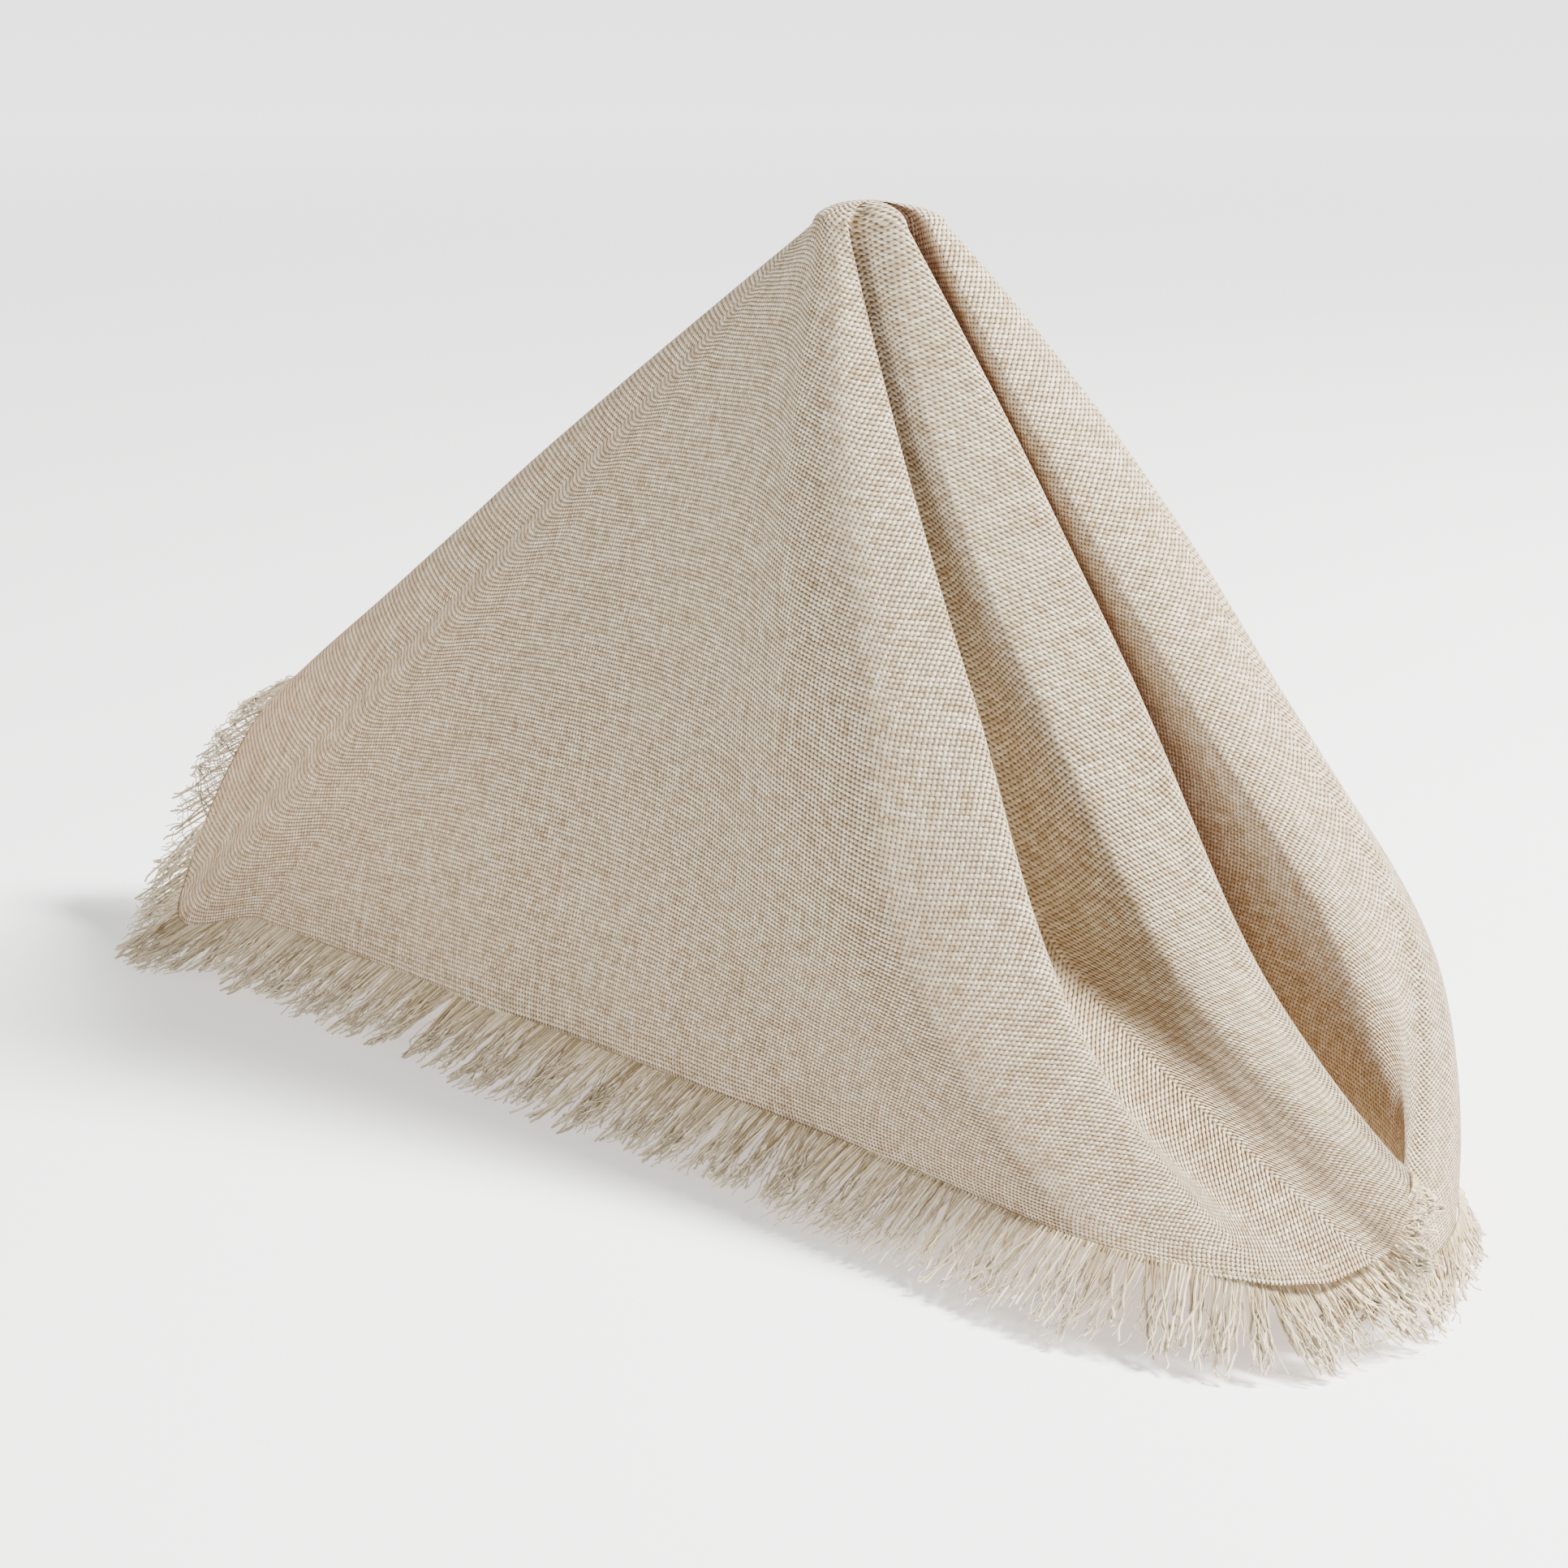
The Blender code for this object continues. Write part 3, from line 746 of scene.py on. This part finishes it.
tube = add(yarns, "GeometryNodeCurveToMesh",
           {"Curve": thick, "Profile Curve": profile, "Fill Caps": True})
whole = add(yarns, "GeometryNodeRealizeInstances", {0: tube})
painted = add(yarns, "GeometryNodeSetMaterial", {"Geometry": whole, "Material": given["Material"]})
add(yarns, "NodeGroupOutput", {0: painted})
print("yarn nodes:", len(yarns.nodes))

# %% [markdown]
# ## Fringe yarn
# Loose yarn is the same dull cotton and linen as the cloth. Towards the hem it
# is painted a little browner, as shade where the yarns crowd, and it is the palest
# at its frayed tips. Each yarn has a shade of its own, and so thin a thread lets
# some warm light through.

# %% Yarn material
TIPS_FROM = 0.3
TIP_PART = 0.5
YARN_THROUGH_LIGHT = 0.1
yarn_finish = bpy.data.materials.new("loose_yarn")
yarn_finish.use_nodes = True
tree = yarn_finish.node_tree
tree.nodes.clear()
down = add(tree, "ShaderNodeAttribute", attribute_name="down_yarn").outputs["Fac"]
tone = add(tree, "ShaderNodeAttribute", attribute_name="own_shade").outputs["Fac"]
root_tones = {0: tone, 6: linear("#917C57"), 7: linear("#E4D4B4")}
root_colour = add(tree, "ShaderNodeMix", root_tones, data_type="RGBA").outputs[2]
# painted shade: near the hem the yarn keeps the darker root colour and pales towards its tip, for the
# shade where yarns crowd
to_tip = add(tree, "ShaderNodeMapRange", {0: down, 1: TIPS_FROM, 2: 1.0})
tip_part = add(tree, MATH, (to_tip, TIP_PART), operation="MULTIPLY")
hem_shade_to_tip_tones = {0: tip_part, 6: root_colour, 7: linear("#EFE5CF")}
colour = add(tree, "ShaderNodeMix", hem_shade_to_tip_tones, data_type="RGBA").outputs[2]
surface = add(tree, "ShaderNodeBsdfPrincipled", {
    "Base Color": colour, "Roughness": 0.9, "Sheen Weight": 0.2, "Specular IOR Level": 0.2})
glow = add(tree, "ShaderNodeBsdfTranslucent", {"Color": linear("#E0BB80")})
mixed = add(tree, "ShaderNodeMixShader", (YARN_THROUGH_LIGHT, surface, glow))
add(tree, "ShaderNodeOutputMaterial", {"Surface": mixed})
print("loose yarn nodes:", len(tree.nodes))

# %% [markdown]
# ## Growing the fringe
# The near hem and the rest of the hem each get a run of whole yarns and a run
# of finer fibres between them, and the lifted back fold, which hangs in plain
# sight, gets more fibres. A run's result is turned into a plain mesh, and the
# modifier is removed.


# %% Grow one run
GUIDE_STEP = 2.0


def grow(name, start, end, settings):
    """A run of fringe as one plain mesh."""
    guide = ribbon(name, start, end, int((end - start) / GUIDE_STEP) + 2)
    modifier = guide.modifiers.new("yarns", "NODES")
    modifier.node_group = yarns
    for item in yarns.interface.items_tree:
        if item.in_out == "INPUT" and item.name in settings:
            modifier[item.identifier] = settings[item.name]
    guide.data.update()
    evaluated = guide.evaluated_get(bpy.context.evaluated_depsgraph_get())
    mesh = bpy.data.meshes.new_from_object(evaluated)
    guide.modifiers.clear()
    guide.data = mesh
    mesh.shade_smooth()
    mesh.calc_loop_triangles()
    print(name, "triangles:", len(mesh.loop_triangles))
    return guide


# %% Runs of fringe
# name, from and to on the flat hem in mm, yarns for each yarn of the cloth, then the inputs of the tree
RUN_INPUTS = ("Steps", "Sides", "Radius", "Locks", "Gather", "Wander", "Seed")
RUNS = (
    ("fringe_near_yarns", -1.0, 374.0, 1.15, (14, 4, 0.23 * MM, 74.0, 0.72, 3.2 * MM, 3.0)),
    ("fringe_near_fibres", -1.0, 374.0, 1.8, (12, 3, 0.11 * MM, 50.0, 0.4, 5.0 * MM, 7.0)),
    ("fringe_rest_yarns", 374.0, 1199.0, 1.1, (11, 3, 0.24 * MM, 165.0, 0.66, 3.0 * MM, 13.0)),
    ("fringe_rest_fibres", 374.0, 1199.0, 0.9, (9, 3, 0.11 * MM, 110.0, 0.4, 5.0 * MM, 17.0)),
    ("fringe_side_fibres", 1126.0, 1203.0, 5.0, (12, 3, 0.13 * MM, 14.0, 0.5, 5.0 * MM, 29.0)),
)
fringe = []
for name, start, end, per_yarn, values in RUNS:
    settings = dict(zip(RUN_INPUTS, values))
    settings["Yarns"] = int((end - start) / YARN_PITCH * per_yarn)
    settings["Material"] = yarn_finish
    fringe.append(grow(name, start, end, settings))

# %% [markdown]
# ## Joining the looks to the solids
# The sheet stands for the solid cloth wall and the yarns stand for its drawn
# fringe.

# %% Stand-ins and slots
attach(sheet, "root")
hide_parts("cloth")
for piece in fringe:
    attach(piece, "root")
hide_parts("fringe_near", "fringe_front")
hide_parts("fringe_inner_near", "fringe_inner_far", "fringe_tongue", "fringe_far")
print("pieces:", 1 + len(fringe))

# %% [markdown]
# ## Floor and surroundings
# The napkin stands on a plain white surface that runs on with no edge or wall
# behind it. The floor glows faintly near the napkin and more far away, because
# the lights are close and a floor without it would turn grey with distance.
# Weak white surroundings fill the shadows, so only the pleat goes dark.

# %% Floor and surroundings
FLOOR_HALF = 14.0
GLOW_NEAR = 0.62
GLOW_FAR = 2.5
floor_mesh = bpy.data.meshes.new("floor")
floor_corners = [(x * FLOOR_HALF, y * FLOOR_HALF, 0) for x, y in ((-1, -1), (1, -1), (1, 1), (-1, 1))]
floor_mesh.from_pydata(floor_corners, [], [(0, 1, 2, 3)])
floor = bpy.data.objects.new("floor", floor_mesh)
bpy.context.scene.collection.objects.link(floor)
floor_finish = bpy.data.materials.new("white_floor")
floor_finish.use_nodes = True
tree = floor_finish.node_tree
paint = tree.nodes["Principled BSDF"]
paint.inputs["Base Color"].default_value = linear("#F7F7F7")
paint.inputs["Roughness"].default_value = 0.85
paint.inputs["Specular IOR Level"].default_value = 0.1
paint.inputs["Emission Color"].default_value = linear("#FFFEFE")
spot = add(tree, "ShaderNodeTexCoord").outputs["Object"]
far = add(tree, VECTOR_MATH, {0: spot}, operation="LENGTH").outputs["Value"]
shine = add(tree, "ShaderNodeMapRange", {0: far, 1: 0.4, 2: 2.5, 3: GLOW_NEAR, 4: GLOW_FAR}).outputs[0]
tree.links.new(shine, paint.inputs["Emission Strength"])
floor_mesh.materials.append(floor_finish)

world = bpy.data.worlds.new("soft_white")
world.use_nodes = True
world.node_tree.nodes["Background"].inputs["Color"].default_value = linear("#FFFEFD")
world.node_tree.nodes["Background"].inputs["Strength"].default_value = 0.24
bpy.context.scene.world = world
print("floor width in m:", 2 * FLOOR_HALF)

# %% [markdown]
# ## Lights
# The shadow falls to the left, so the key light stands high on the right. It is
# a small soft square and gives the pale edges of the rolls. A wider fill from
# the near side lights the broad face, which the key light only grazes, and a
# weak one overhead opens the folds.


# %% Lights
AIM_HEIGHT = 0.06


def area_light(name, place, size, power, colour):
    """A square soft light aimed at the napkin."""
    data = bpy.data.lights.new(name, "AREA")
    data.size = size
    data.energy = power
    data.color = linear(colour)[:3]
    lamp = bpy.data.objects.new(name, data)
    lamp.location = place
    aim_at = Vector((0.0, 0.0, AIM_HEIGHT)) - Vector(place)
    lamp.rotation_euler = aim_at.to_track_quat("-Z", "Y").to_euler()
    bpy.context.scene.collection.objects.link(lamp)
    print(name, "light,", round(aim_at.length, 2), "m away")


area_light("key", (0.75, 0.68, 1.1), 0.4, 128.0, "#FFFDFA")
area_light("near_fill", (-0.75, -1.45, 0.45), 0.8, 24.0, "#FFFEFD")
area_light("overhead", (-0.2, -0.1, 1.9), 2.2, 3.0, "#FFFFFF")

# %% [markdown]
# ## Camera
# The camera stands low, at the height and side the picture was taken from,
# with a long lens. Its place was worked out from the point of the tent and the
# two corners of the near hem, whose distances on the flat square are known.

# %% Camera
AZIMUTH = math.radians(49.5)
ELEVATION = math.radians(13.0)
DISTANCE = 0.697
PICTURE_WIDTH = 1932
FOCAL_LENGTH = 5070
SENSOR = 36.0
AIM_RIGHT = -0.014
AIM_BEYOND = -0.026
to_right = Vector((math.cos(AZIMUTH), math.sin(AZIMUTH), 0.0))
beyond = Vector((-math.sin(AZIMUTH), math.cos(AZIMUTH), 0.0))
ahead = beyond * math.cos(ELEVATION) - Vector((0.0, 0.0, math.sin(ELEVATION)))
aim = to_right * AIM_RIGHT + beyond * AIM_BEYOND + Vector((0.0, 0.0, AIM_HEIGHT)) - Vector(CENTRE * MM)
camera_data = bpy.data.cameras.new("camera")
camera_data.sensor_width = SENSOR
camera_data.lens = FOCAL_LENGTH / PICTURE_WIDTH * SENSOR
camera = bpy.data.objects.new("camera", camera_data)
turned = ahead.to_track_quat("-Z", "Y").to_matrix().to_4x4()
camera.matrix_world = Matrix.Translation(aim - ahead * DISTANCE) @ turned
bpy.context.scene.collection.objects.link(camera)
bpy.context.scene.camera = camera
print("camera at", tuple(round(c, 3) for c in camera.location), "lens", round(camera_data.lens, 1))
